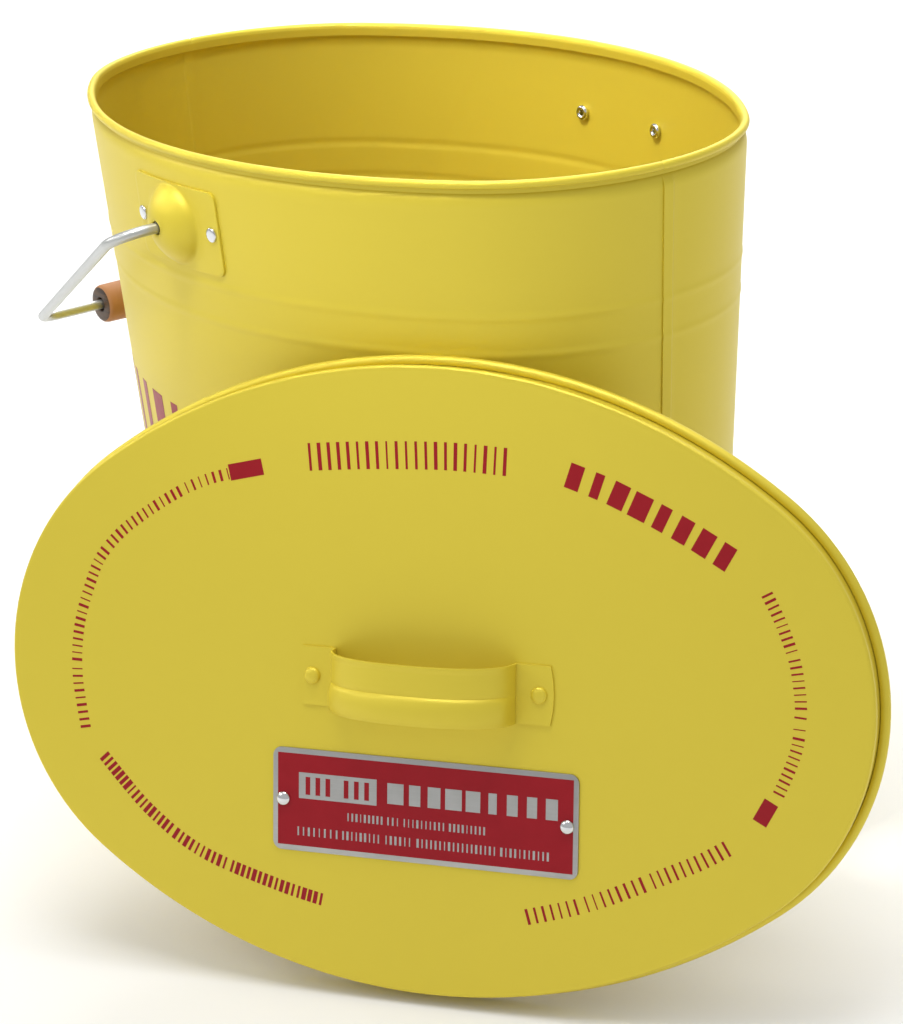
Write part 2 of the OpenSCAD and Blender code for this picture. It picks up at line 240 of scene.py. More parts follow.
@dataclass(frozen=True)
class Oval:
    """The mouth's outline: two end arcs and two side arcs, found by the direction that its edge faces."""

    end_r: float = 100.0
    end_x: float = 90.0
    side_r: float = 250.0
    side_y: float = 120.0
    join: float = math.pi / 2 - math.atan2(3, 4)

    def arc(self, turn: float) -> tuple[float, float, float]:
        """Centre and radius of the arc whose edge faces that way."""
        turn %= FULL_TURN
        if self.join < turn < math.pi - self.join:
            return 0.0, -self.side_y, self.side_r
        if math.pi + self.join < turn < FULL_TURN - self.join:
            return 0.0, self.side_y, self.side_r
        return (self.end_x if math.cos(turn) > 0 else -self.end_x), 0.0, self.end_r

    def at(self, turn: float, offset: float) -> Flat:
        """The point of the outline, moved outward by offset, whose edge faces turn."""
        x, y, r = self.arc(turn)
        return x + (r + offset) * math.cos(turn), y + (r + offset) * math.sin(turn)

    def turns(self, start: float, end: float, step: float) -> list[float]:
        """Directions from start to end whose points are about step apart, with the arcs' joints."""
        joins = (k * math.pi + side * self.join for k in range(-1, 3) for side in (-1, 1))
        marks = sorted([start, *(edge for edge in joins if start + EPSILON < edge < end - EPSILON), end])
        found: list[float] = []
        for a, b in zip(marks, marks[1:]):
            radius = self.arc((a + b) / 2)[2]
            found += spread(a, b, step / radius)[:-1]
        return found + [end]

    def ring(self, step: float) -> list[float]:
        """Directions all the way round."""
        return self.turns(0.0, FULL_TURN, step)[:-1]

    def walk(self, distance: float) -> float:
        """The direction found by walking that far along the front side from its middle, towards +X."""
        half_side = self.side_r * (math.pi / 2 - self.join)
        if abs(distance) <= half_side:
            return 1.5 * math.pi + distance / self.side_r
        past = (abs(distance) - half_side) / self.end_r
        return 1.5 * math.pi + math.copysign(math.pi / 2 - self.join + past, distance)


Section = Callable[[float], Sequence[Flat]]


def sweep(
    name: str,
    oval: Oval,
    turns: Sequence[float],
    section: Section,
    place: Matrix,
    closed: bool,
    slot_of: Optional[Callable[[int], int]] = None,
    sharp_deg: float = DEFAULT_SHARP,
) -> Piece:
    """Sweeps a closed section round the oval.

    Args:
        name: the piece's name.
        oval: the outline that it follows.
        turns: the directions at which a section stands.
        section: gives the section at a direction, as offset and height.
        place: matrix into the row frame.
        closed: whether the last section joins the first.
        slot_of: gives a face's material slot from its place along the section.
        sharp_deg: edges bent more than this stay sharp.
    """
    points: list[Solid] = []
    count = len(section(turns[0]))
    for turn in turns:
        points += [(*oval.at(turn, offset), height) for offset, height in section(turn)]
    faces = grid_faces(len(turns), count, closed, True)
    slots = [slot_of(i % count) if slot_of else 0 for i in range(len(faces))]
    if not closed:
        caps = end_caps((0, (len(turns) - 1) * count), count)
        faces += caps
        slots += [0] * len(caps)
    return build(name, points, faces, place, sharp_deg, slots)


def curl(middle: Flat, radius: float, start_deg: float, end_deg: float, steps: int = 28) -> list[Flat]:
    """Points on an arc about a middle."""
    angles = (math.radians(start_deg + (end_deg - start_deg) * i / steps) for i in range(steps + 1))
    return [(middle[0] + radius * math.cos(a), middle[1] + radius * math.sin(a)) for a in angles]


def film_block(middle: Flat, width: float, height: float, low: float, thick: float) -> Mesh:
    """A thin rectangular block of film."""
    corners = ((-1, -1), (1, -1), (1, 1), (-1, 1))
    flat = [(middle[0] + sx * width / 2, middle[1] + sy * height / 2) for sx, sy in corners]
    points = [(*p, z) for z in (low, low + thick) for p in flat]
    faces = [(3, 2, 1, 0), (4, 5, 6, 7)] + [(i, (i + 1) % 4, 4 + (i + 1) % 4, 4 + i) for i in range(4)]
    mesh = bpy.data.meshes.new("block")
    mesh.from_pydata(points, [], faces)
    return mesh


# ---- shader maths


class Maths:
    """A socket that carries one number, on which Python's operators add Math nodes."""

    def __init__(self, tree: bpy.types.NodeTree, socket: Socket) -> None:
        """Wraps an output, and keeps the tree that new nodes go into."""
        self.tree = tree
        self.socket = socket

    def _math(self, operation: str, first: Number, second: Number) -> Maths:
        """Adds one Math node on two values and wraps its result."""
        node = self.tree.nodes.new("ShaderNodeMath")
        node.operation = operation
        for index, value in enumerate((first, second)):
            if isinstance(value, Maths):
                self.tree.links.new(value.socket, node.inputs[index])
            else:
                node.inputs[index].default_value = value
        return Maths(self.tree, node.outputs[0])

    def __add__(self, other: Number) -> Maths:
        """Sum."""
        return self._math("ADD", self, other)

    __radd__ = __add__

    def __mul__(self, other: Number) -> Maths:
        """Product."""
        return self._math("MULTIPLY", self, other)

    __rmul__ = __mul__

    def __sub__(self, other: Number) -> Maths:
        """Difference."""
        return self._math("SUBTRACT", self, other)

    def __rsub__(self, other: Number) -> Maths:
        """Difference, the other way round."""
        return self._math("SUBTRACT", other, self)

    def __pow__(self, other: Number) -> Maths:
        """Power."""
        return self._math("POWER", self, other)

    def above(self, level: float) -> Maths:
        """1 where the number is over the level, and 0 elsewhere."""
        return self._math("GREATER_THAN", self, level)


class Tree:
    """A node tree, with one method that adds any node."""

    def __init__(self, tree: bpy.types.NodeTree) -> None:
        """Keeps the tree."""
        self.tree = tree

    def node(self, kind: str, settings: Settings = None, inputs: Inputs = None) -> Node:
        """Adds a node.

        Args:
            kind: the node's type.
            settings: properties, set first; "stops" holds a ramp's positions and colours.
            inputs: values, sockets, Maths or nodes for its inputs; a node gives its first output.

        Returns:
            The new node.
        """
        made = self.tree.nodes.new(kind)
        for key, value in (settings or {}).items():
            if key != "stops":
                setattr(made, key, value)
                continue
            elements = made.color_ramp.elements
            while len(elements) < len(value):
                elements.new(1.0)
            for element, (position, colour) in zip(elements, value):
                element.position = position
                element.color = (*colour, 1.0)
        for key, value in (inputs or {}).items():
            self.feed(made.inputs[key], value)
        return made

    def feed(self, socket: Socket, value: Any) -> None:
        """Links an input or sets its value."""
        if isinstance(value, (Maths, Node)):
            value = value.socket if isinstance(value, Maths) else value.outputs[0]
        if isinstance(value, Socket):
            self.tree.links.new(value, socket)
        else:
            socket.default_value = value


class Paint(Tree):
    """One material's node tree, which ends in a Principled BSDF."""

    def __init__(self, name: str) -> None:
        """Starts the material."""
        self.material = bpy.data.materials.new(name)
        self.material.use_nodes = True
        super().__init__(self.material.node_tree)
        self.tree.nodes.clear()
        self.shader = self.node("ShaderNodeBsdfPrincipled")
        self.node("ShaderNodeOutputMaterial", {}, {"Surface": self.shader})
        self.place = self.node("ShaderNodeTexCoord").outputs["Object"]

    def number(self, socket: Socket) -> Maths:
        """Wraps a socket for maths."""
        return Maths(self.tree, socket)

    def noise(self, scale: float, detail: float = 2.0, rough: float = 0.5, place: Any = None) -> Maths:
        """Noise from 0 to 1, with that many cells to the metre."""
        values = {"Scale": scale, "Detail": detail, "Roughness": rough, "Vector": place or self.place}
        return self.number(self.node("ShaderNodeTexNoise", {"noise_dimensions": "3D"}, values).outputs[0])

    def stretched(self, along: Vector, keep: float) -> Socket:
        """Object coordinates of which only the share keep is left along one direction of the row frame."""
        maths = "ShaderNodeVectorMath"
        dot = self.node(maths, {"operation": "DOT_PRODUCT"}, {0: self.place, 1: along})
        share = self.number(dot.outputs["Value"]) * (1.0 - keep)
        part = self.node(maths, {"operation": "SCALE"}, {0: along, "Scale": share})
        return self.node(maths, {"operation": "SUBTRACT"}, {0: self.place, 1: part}).outputs[0]

    def mix(self, factor: Number, first: Any, second: Any) -> Socket:
        """A colour between two colours."""
        first, second = ((*c, 1.0) if isinstance(c, tuple) else c for c in (first, second))
        return self.node("ShaderNodeMix", {"data_type": "RGBA"}, {0: factor, 6: first, 7: second}).outputs[2]

    def bump(self, height: Number, distance: float, under: Any = None) -> Socket:
        """A normal from a height, on top of another bump if there is one."""
        below = {} if under is None else {"Normal": under}
        return self.node("ShaderNodeBump", {}, {"Height": height, "Distance": distance, **below}).outputs[0]

    def set(self, **inputs: Any) -> Paint:
        """Sets the shader's inputs; a space in a name is written as an underscore."""
        for key, value in inputs.items():
            if isinstance(value, tuple) and len(value) == 3:
                value = (*value, 1.0)
            self.feed(self.shader.inputs[key.replace("_", " ")], value)
        return self


@dataclass(frozen=True)
class Enamel:
    """Glossy baked enamel on sheet that is not quite flat."""

    name: str
    colour: Colour
    deep: Colour
    rough: float = 0.035
    wave: float = 0.00028
    peel: float = 0.000004
    ior: float = 1.42

    def make(self) -> bpy.types.Material:
        """Builds the material."""
        paint = Paint(self.name)
        cloud = paint.noise(9.0, 3.0, 0.55)
        fleck = paint.noise(900.0, 2.0, 0.6)
        colour = paint.mix(cloud * 0.6 + fleck * 0.25, self.colour, self.deep)
        wave = paint.bump(paint.noise(17.0, 1.5, 0.4), self.wave)
        skin = paint.bump(paint.noise(520.0, 2.0, 0.5), self.peel, wave)
        paint.set(Base_Color=colour, Roughness=paint.noise(60.0, 3.0) * 0.08 + self.rough, Normal=skin)
        paint.set(IOR=self.ior)
        return paint.material


@dataclass(frozen=True)
class Metal:
    """Bare metal, drawn or brushed along one direction if there is one."""

    name: str
    colour: Colour
    dull: Colour
    rough: float
    along: Solid | None = None
    grain: float = 900.0

    def make(self) -> bpy.types.Material:
        """Builds the material."""
        paint = Paint(self.name)
        place = paint.stretched(Vector(self.along).normalized(), 0.02) if self.along else None
        streak = paint.noise(self.grain, 3.0, 0.6, place)
        cloud = paint.noise(70.0, 3.0, 0.6)
        colour = paint.mix(cloud * 0.7 + streak * 0.3, self.colour, self.dull)
        paint.set(Base_Color=colour, Metallic=1.0, Roughness=streak * 0.16 + (cloud * 0.12 + self.rough))
        paint.set(Normal=paint.bump(streak, 0.00003))
        return paint.material


@dataclass(frozen=True)
class Ink:
    """Printed or enamelled colour in a thin film."""

    name: str
    colour: Colour
    deep: Colour
    rough: float = 0.32
    gloss: float = 1.3

    def make(self) -> bpy.types.Material:
        """Builds the material."""
        paint = Paint(self.name)
        colour = paint.mix(paint.noise(120.0, 3.0, 0.6), self.colour, self.deep)
        paint.set(Base_Color=colour, Roughness=paint.noise(300.0) * 0.1 + self.rough)
        paint.set(IOR=self.gloss, Normal=paint.bump(paint.noise(600.0), 0.00002))
        return paint.material


@dataclass(frozen=True)
class Wood:
    """Turned hardwood with its grain along the grip."""

    name: str
    light: Colour
    dark: Colour
    along: Solid = (0.0, 1.0, 0.0)

    def make(self) -> bpy.types.Material:
        """Builds the material."""
        paint = Paint(self.name)
        along = paint.stretched(Vector(self.along), 0.06)
        grain = paint.noise(420.0, 5.0, 0.65, along)
        pores = paint.noise(1900.0, 2.0, 0.5, along)
        late = tuple(c * 0.66 for c in self.light)
        stops = {"stops": ((0.38, self.dark), (0.50, self.light), (0.62, late))}
        rings = paint.node("ShaderNodeValToRGB", stops, {0: grain}).outputs[0]
        colour = paint.mix(pores.above(0.66) * 0.55, rings, self.dark)
        paint.set(Base_Color=colour, Roughness=grain * 0.15 + 0.38, Coat_Weight=0.12)
        paint.set(Normal=paint.bump(grain * 0.7 + pores * 0.3, 0.00022))
        return paint.material


@dataclass(frozen=True)
class Plaster:
    """Plain pale floor."""

    name: str = "pale_floor"

    def make(self) -> bpy.types.Material:
        """Builds the material."""
        return Paint(self.name).set(Base_Color=(0.86, 0.86, 0.855), Roughness=0.8).material


class Finish(Enum):
    """The finishes of this pail."""

    ENAMEL = Enamel("yellow_enamel", (0.65, 0.52, 0.005), (0.62, 0.49, 0.004))
    # The inside is the same yellow enamel as the outside, painted lighter. Its brighter colour is painted
    # light, standing in for light that the lamps do not bring into the pail.
    INSIDE = Enamel("yellow_enamel_inside", (0.83, 0.68, 0.006), (0.80, 0.65, 0.005), 0.09)
    ZINC = Metal("zinc_wire", (0.44, 0.43, 0.40), (0.28, 0.28, 0.26), 0.20, (0.85, 0.30, 0.42))
    RIVET = Metal("bare_rivet", (0.31, 0.31, 0.32), (0.20, 0.20, 0.21), 0.26)
    PLATE = Metal(
        "brushed_aluminium", (0.52, 0.52, 0.51), (0.34, 0.34, 0.33), 0.24, (0.829, 0.559, 0.0), 1400.0
    )
    FIELD = Ink("red_plate_enamel", (0.33, 0.006, 0.014), (0.27, 0.004, 0.010), 0.30)
    PRINT = Ink("red_print", (0.33, 0.008, 0.016), (0.28, 0.006, 0.012), 0.28)
    WOOD = Wood("turned_wood", (0.105, 0.062, 0.008), (0.036, 0.020, 0.004))
    END_GRAIN = Wood("wood_end_grain", (0.085, 0.040, 0.010), (0.030, 0.013, 0.004), (1.0, 0.0, 0.0))
    FLOOR = Plaster()

    def material(self) -> bpy.types.Material:
        """The finish's material, built the first time."""
        return bpy.data.materials.get(self.value.name) or self.value.make()


def dress(piece: Piece, *finishes: Finish) -> None:
    """Gives a piece its finishes, one for each material slot."""
    mesh = piece.data
    kept = [face.material_index for face in mesh.polygons]
    mesh.materials.clear()
    for finish in finishes:
        mesh.materials.append(finish.material())
    if len(finishes) > 1:
        mesh.polygons.foreach_set("material_index", kept)


def settle(piece: Piece, body: str, slot: str, finishes: Finish | tuple[Finish, ...], *nodes: str) -> None:
    """Dresses a piece, and says what it rides on and the nodes that it stands for."""
    dress(piece, *(finishes if isinstance(finishes, tuple) else (finishes,)))
    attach(piece, body)
    if nodes:
        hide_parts(*nodes)
    LOG.info("%s: %d faces on %s", piece.name, len(piece.data.polygons), body)


# ---- geometry nodes


class Repeats(Tree):
    """A Geometry Nodes tree that puts copies of one shape on the points of a mesh."""

    def __init__(self, name: str, *sizes: str) -> None:
        """Starts a tree with a geometry input, a number input for each size, a seed and a material.

        Args:
            name: the tree's name.
            *sizes: names of its sizes, in millimetres.
        """
        super().__init__(bpy.data.node_groups.new(name, "GeometryNodeTree"))
        kinds = [("Geometry", "Geometry"), *((size, "Float") for size in sizes), ("Seed", "Int")]
        for title, kind in [*kinds, ("Material", "Material")]:
            self.tree.interface.new_socket(title, in_out="INPUT", socket_type="NodeSocket" + kind)
        self.tree.interface.new_socket("Geometry", in_out="OUTPUT", socket_type="NodeSocketGeometry")
        self.inputs = self.node("NodeGroupInput").outputs

    def size(self, name: str) -> Maths:
        """One of the tree's sizes, ready for maths."""
        return Maths(self.tree, self.inputs[name])

    def copy(self, points: Socket | Node, shape: Node, turn: Node, **more: Any) -> None:
        """Ends the tree with turned copies of a shape on points, as real faces with the material on them."""
        values = {"Points": points, "Instance": shape, "Rotation": turn, **more}
        copies = self.node("GeometryNodeInstanceOnPoints", {}, values)
        real = self.node("GeometryNodeRealizeInstances", {}, {0: copies})
        painted = self.node("GeometryNodeSetMaterial", {}, {0: real, "Material": self.inputs["Material"]})
        self.node("NodeGroupOutput", {}, {0: painted})

    def stand(self, shape: Node) -> None:
        """Ends the tree with the shape on each point, facing the way that the point does."""
        kind = {"data_type": "FLOAT_VECTOR"}
        facing = self.node("GeometryNodeInputNamedAttribute", kind, {"Name": "facing"})
        turn = self.node("FunctionNodeAlignRotationToVector", {"axis": "Z"}, {"Vector": facing})
        self.copy(self.inputs["Geometry"], shape, turn)

    def run(self, base: Mesh, finish: Finish, seed: int = 0, **sizes: float) -> Mesh:
        """Runs the tree on a mesh.

        Args:
            base: the points that carry the copies.
            finish: what the copies are made of.
            seed: chooses the random numbers.
            **sizes: the sizes; a space in a name is written as an underscore.

        Returns:
            A plain mesh in millimetres.
        """
        holder = make_object("holder", base)
        modifier = holder.modifiers.new("repeats", "NODES")
        modifier.node_group = self.tree
        values: dict[str, Any] = {key.replace("_", " "): value for key, value in sizes.items()}
        values.update({"Seed": seed, "Material": finish.material()})
        for item in self.tree.interface.items_tree:
            if item.item_type == "SOCKET" and item.in_out == "INPUT" and item.name in values:
                modifier[item.identifier] = values[item.name]
        graph = bpy.context.evaluated_depsgraph_get()
        result = bpy.data.meshes.new_from_object(holder.evaluated_get(graph), depsgraph=graph)
        holder.modifiers.remove(modifier)
        bpy.data.objects.remove(holder)
        bpy.data.meshes.remove(base)
        return result


def seats(points: Sequence[Vector], facing: Sequence[Vector]) -> Mesh:
    """A mesh of loose points that each carry the direction that they face."""
    mesh = bpy.data.meshes.new("seats")
    mesh.from_pydata([tuple(p) for p in points], [], [])
    store = mesh.attributes.new("facing", "FLOAT_VECTOR", "POINT")
    store.data.foreach_set("vector", [c for direction in facing for c in direction])
    return mesh


class RivetHeads(Repeats):
    """Round heads that stand on points: flat at the bottom, and domed by their own amount."""

    def __init__(self) -> None:
        """Builds the tree."""
        super().__init__("rivet_heads", "Head Radius", "Head Height", "Fullness")
        ball = self.node("GeometryNodeMeshUVSphere", {}, {"Segments": 40, "Rings": 24, "Radius": 1.0})
        split = self.node("ShaderNodeSeparateXYZ", {}, {0: self.node("GeometryNodeInputPosition")})
        x, y, z = (Maths(self.tree, socket) for socket in split.outputs)
        over = self.node("ShaderNodeMath", {"operation": "MAXIMUM"}, {0: z, 1: 0.0}).outputs[0]
        height = Maths(self.tree, over) ** self.size("Fullness") * self.size("Head Height")
        radius = self.size("Head Radius")
        placed = self.node("ShaderNodeCombineXYZ", {}, {0: x * radius, 1: y * radius, 2: height})
        head = self.node("GeometryNodeSetPosition", {}, {"Geometry": ball, "Position": placed})
        self.stand(head)


class RolledTails(Repeats):
    """The rolled-over ends of tubular rivets: a ring round a hollow."""

    def __init__(self) -> None:
        """Builds the tree."""
        super().__init__("rolled_tails", "Ring Radius", "Roll Radius")
        circle, radii = "GeometryNodeCurvePrimitiveCircle", self.inputs
        path = self.node(circle, {}, {"Resolution": 32, "Radius": radii["Ring Radius"]})
        roll = self.node(circle, {}, {"Resolution": 14, "Radius": radii["Roll Radius"]})
        ring = self.node("GeometryNodeCurveToMesh", {}, {"Curve": path, "Profile Curve": roll})
        self.stand(ring)


class PrintedBars(Repeats):
    """Upright bars in a thin film, in a row along a line, that stand in for printed words."""

    def __init__(self) -> None:
        """Builds the tree."""
        super().__init__("printed_bars", "Pitch", "Bar Width", "Bar Height", "Film", "Unevenness")
        line = self.node("GeometryNodeMeshToCurve", {}, {"Mesh": self.inputs["Geometry"]})
        values = {"Curve": line, "Length": self.inputs["Pitch"]}
        points = self.node("GeometryNodeCurveToPoints", {"mode": "LENGTH"}, values)
        tangent = {"Vector": points.outputs["Tangent"]}
        turn = self.node("FunctionNodeAlignRotationToVector", {"axis": "X"}, tangent)
        chance = self.node("FunctionNodeRandomValue", {"data_type": "FLOAT"}, {"Seed": self.inputs["Seed"]})
        swing = Maths(self.tree, chance.outputs[1]) * 2.0 - 1.0
        width = self.size("Bar Width") * (swing * self.size("Unevenness") + 1.0)
        size = {0: width, 1: self.inputs["Bar Height"], 2: self.inputs["Film"]}
        cube = {"Size": (1.0, 1.0, 1.0), "Vertices X": 3, "Vertices Y": 2, "Vertices Z": 2}
        bar = self.node("GeometryNodeMeshCube", {}, cube)
        self.copy(points, bar, turn, Scale=self.node("ShaderNodeCombineXYZ", {}, size))


@dataclass(frozen=True)
class PrintRow:
    """One row of print: the line along its middle, and the sizes of its bars."""

    line: tuple[Flat, ...]
    height: float
    pitch: float
    width: float
    words: tuple[int, ...] = (1,)
    space: float = 5.0

    def lines(self) -> list[list[Flat]]:
        """The row's words, each as points along the line."""
        lengths = [0.0]
        for a, b in zip(self.line, self.line[1:]):
            lengths.append(lengths[-1] + math.dist(a, b))
        free = lengths[-1] - self.space * (len(self.words) - 1)
        found, start = [], 0.0
        for word in self.words:
            end = start + free * word / sum(self.words)
            found.append([self._at(lengths, s) for s in spread(start, end, 2.5)])
            start = end + self.space
        return found

    def _at(self, lengths: Sequence[float], s: float) -> Flat:
        """The point at a distance along the line, smoothed between its points."""
        i = max(0, min(len(lengths) - 2, next((k for k, v in enumerate(lengths) if v > s), len(lengths)) - 1))
        k = (s - lengths[i]) / (lengths[i + 1] - lengths[i])
        p = [self.line[max(0, min(len(self.line) - 1, i + j))] for j in (-1, 0, 1, 2)]
        return tuple(
            0.5 * (2 * b + (c - a) * k + (2 * a - 5 * b + 4 * c - d) * k * k + (3 * b - a - 3 * c + d) * k**3)
            for a, b, c, d in zip(*p)
        )

    def bars(
        self, tree: PrintedBars, finish: Finish, film: float, seed: int, uneven: float = 0.45
    ) -> list[Mesh]:
        """Makes the row's bars, as one mesh for each word, flat on z = 0.

        Args:
            tree: the tree that makes bars.
            finish: what they are printed in.
            film: the film's thickness.
            seed: chooses the bars' widths.
            uneven: how much the widths vary, from 0 to 1.
        """
        made = []
        for index, word in enumerate(self.lines()):
            mesh = bpy.data.meshes.new("word")
            mesh.from_pydata([(*p, 0.0) for p in word], [(i, i + 1) for i in range(len(word) - 1)], [])
            sizes = {"Pitch": self.pitch, "Bar_Width": self.width, "Bar_Height": self.height}
            made.append(tree.run(mesh, finish, seed + index, Film=film, Unevenness=uneven, **sizes))
        return made


# ---- the pail


@dataclass
class Pail:
    """The tapering wall in two halves, the foot, the bottom and what is pressed into them."""

    oval: Oval = field(default_factory=Oval)
    height: float = 354.0
    taper: float = 26.0
    sheet: float = 0.8
    rim_r: float = 1.9
    rim_out: float = -1.3
    wire_r: float = 1.3
    swages: tuple[float, float] = (276.0, 293.0)
    swage_out: float = 0.3
    swage_half: float = 3.0
    shoulder: tuple[float, float] = (341.6, 348.0)
    neck_off: float = -2.55
    fullness: float = 0.93
    strip: float = 6.0
    strip_out: float = 0.65
    step_in: float = 0.5
    pinch: float = 0.35
    foot: float = 11.0
    gap: float = 0.05

    def wall_at(self, z: float) -> float:
        """Offset of the plain wall from the mouth's outline at a height."""
        return -self.taper / self.height * (self.height - z)

    def face(self, z: float) -> float:
        """Offset of the outer face, with its swages and the shoulder that turns in under the rim."""
        low, high = self.shoulder
        swage = sum(bump_shape((z - middle) / self.swage_half) for middle in self.swages)
        round_in = 1 - math.sqrt(1 - (self.fullness * min(1.0, max(0.0, (z - low) / (high - low)))) ** 2)
        share = round_in / (1 - math.sqrt(1 - self.fullness**2))
        return (self.wall_at(z) + self.swage_out * swage) * (1 - share) + self.neck_off * share

    def levels(self) -> list[float]:
        """Heights at which the wall has a row of points."""
        top = self.height - self.rim_r - 0.5
        marks = {self.sheet + self.gap, 11.5, 13.0, top}
        marks.update(spread(14.0, self.shoulder[0] - 2.4, 14.0))
        for middle in self.swages:
            marks.update(spread(middle - self.swage_half - 1, middle + self.swage_half + 1, 0.8))
        marks.update(spread(self.shoulder[0] - 2.0, self.shoulder[0], 0.4))
        marks.update(spread(self.shoulder[0], self.shoulder[1], 0.45))
        marks.update(spread(self.shoulder[1], top, 0.9))
        return sorted(marks)

    def wall_half(self, name: str, start: float) -> Piece:
        """One of the two sheets, with its curl at the top and, where its first edge faces start, its fold."""
        end = start + math.pi
        levels = self.levels()
        low, high = self.shoulder
        middle = (self.rim_out, self.height - self.rim_r)
        edge = self.strip / self.oval.end_r
        extra = [start + 0.003, start + 0.009, end - 0.009, end - 0.004]
        extra += [start + edge + k / self.oval.end_r for k in (-1.4, -1.0, -0.7, -0.35, 0.0, 0.3)]
        turns = sorted(self.oval.turns(start, end, 3.0) + extra)

        def section(turn: float) -> list[Flat]:
            """The sheet's section where its edge faces turn."""
            along = 1 - ramp((turn - start) * self.oval.end_r, self.strip - 1.0, self.strip + 0.3)
            folds = [along * ramp(z, 11.6, 13.5) * (1 - ramp(z, low + 2.0, high)) for z in levels]
            rows = [(self.face(z), fold, z) for z, fold in zip(levels, folds)]
            outer = [(out + self.strip_out * fold, z) for out, fold, z in rows]
            inner = [(out - self.sheet - self.step_in * fold, z) for out, fold, z in reversed(rows)]
            nearest = min(turn - start, end - turn) * self.oval.end_r
            pinch = self.pinch * (1 - ramp(nearest, 0.0, 0.9))
            roll = curl(middle, self.wire_r, 178, -115) + curl(middle, self.rim_r - pinch, -115, 178)
            return outer + roll + inner

        inside = len(section(start)) - len(levels)
        return sweep(name, self.oval, turns, section, pail_place(), False, lambda i: int(i >= inside))

    def foot_hoop(self) -> Piece:
        """The hoop folded round the wall's bottom edge, with a ledge under the pan."""
        low_out = self.wall_at(0) + self.gap
        low_in = self.wall_at(0) - self.sheet - self.gap
        top_out = self.wall_at(self.foot) + self.gap
        outer = curl((low_out + 1.4, 0.8), 0.8, -90, 0, 5) + [(low_out + 2.2, self.foot - 2.8)]
        outer += curl((low_out + 1.4, self.foot - 2.2), 0.8, 0, 90, 5)
        ledge = [
            (top_out + 0.7, self.foot - 0.25),
            (top_out, self.foot),
            (low_out, self.sheet),
            (low_in, self.sheet),
            (low_in, self.foot - 5),
            (low_in - 5, self.foot - 5),
            (low_in - 5, self.foot - 5.8),
            (low_in - 0.8, self.foot - 5.8),
            (low_in - 0.8, 0.0),
        ]
        loop = outer + ledge
        return sweep("foot_hoop_folded", self.oval, self.oval.ring(5.0), lambda _: loop, pail_place(), True)

    def bottom_pan(self) -> Piece:
        """The pan, with a shallow pressed step round its middle."""
        low = self.foot - 5 + self.gap
        edge = self.wall_at(self.foot - 5) - self.sheet - 2 * self.gap
        step = (0.86, 1.6)
        return oval_sheet("bottom_pan_pressed", self.oval, edge, low + 1.0, 1.0, pail_place(), step=step)

    def make(self) -> None:
        """Builds, dresses and settles the pail's pieces."""
        for node, start in (("wall_front", math.pi), ("wall_back", 0.0)):
            wall = self.wall_half(node + "_sheet", start)
            # The sheets' inner faces take the lighter copy of the enamel. Its brighter colour is painted
            # light inside the pail.
            settle(wall, "pail", "yellow_enamel", (Finish.ENAMEL, Finish.INSIDE), node)
        settle(self.foot_hoop(), "pail", "yellow_enamel", Finish.ENAMEL, "foot_hoop")
        # The bottom pan takes the same lighter copy of the enamel, which is painted light inside the pail.
        settle(self.bottom_pan(), "pail", "yellow_enamel_inside", Finish.INSIDE, "bottom_pan")
        dress(frame["nodes"]["rim_wire"], Finish.ZINC)


def oval_sheet(
    name: str,
    oval: Oval,
    edge: float,
    top: float,
    thick: float,
    place: Matrix,
    step: tuple[float, float] | None = None,
    lip: Sequence[Flat] = (),
) -> Piece:
    """A sheet with the oval's outline.

    Args:
        name: the piece's name.
        oval: the outline.
        edge: the outline's offset.
        top: height of the upper face.
        thick: the sheet's thickness.
        place: matrix into the row frame.
        step: where a pressed step runs, as a share of the way out, and its height.
        lip: the edge's section from the upper face to the lower one, as offset and height.
    """
    turns = oval.ring(5.0)
    shares = [0.1, 0.25, 0.4, 0.55, 0.7, 0.8, 0.9, 0.97, 1.0]
    rise = [0.0] * len(shares)
    if step:
        shares = sorted(set(shares) | set(spread(step[0] - 0.02, step[0] + 0.02, 0.004)))
        rise = [step[1] * (1 - ramp(s, step[0] - 0.02, step[0] + 0.02)) for s in shares]
    upper = [(edge, share, top + up) for share, up in zip(shares, rise)]  # offset, share and height
    lower = [(edge, share, z - thick) for _, share, z in reversed(upper)]
    loops = [*upper, *((offset, 1.0, z) for offset, z in lip), *lower]
    points: list[Solid] = []
    for offset, share, z in loops:
        points += [(x * share, y * share, z) for x, y in (oval.at(turn, offset) for turn in turns)]
    rows, count = len(loops), len(turns)
    faces = grid_faces(rows, count, False, True)
    points += [(0.0, 0.0, top + rise[0]), (0.0, 0.0, top + rise[0] - thick)]
    middle = len(points) - 2
    for j in range(count):
        after = (j + 1) % count
        faces.append((middle, j, after))
        faces.append((middle + 1, (rows - 1) * count + after, (rows - 1) * count + j))
    return build(name, points, faces, place)


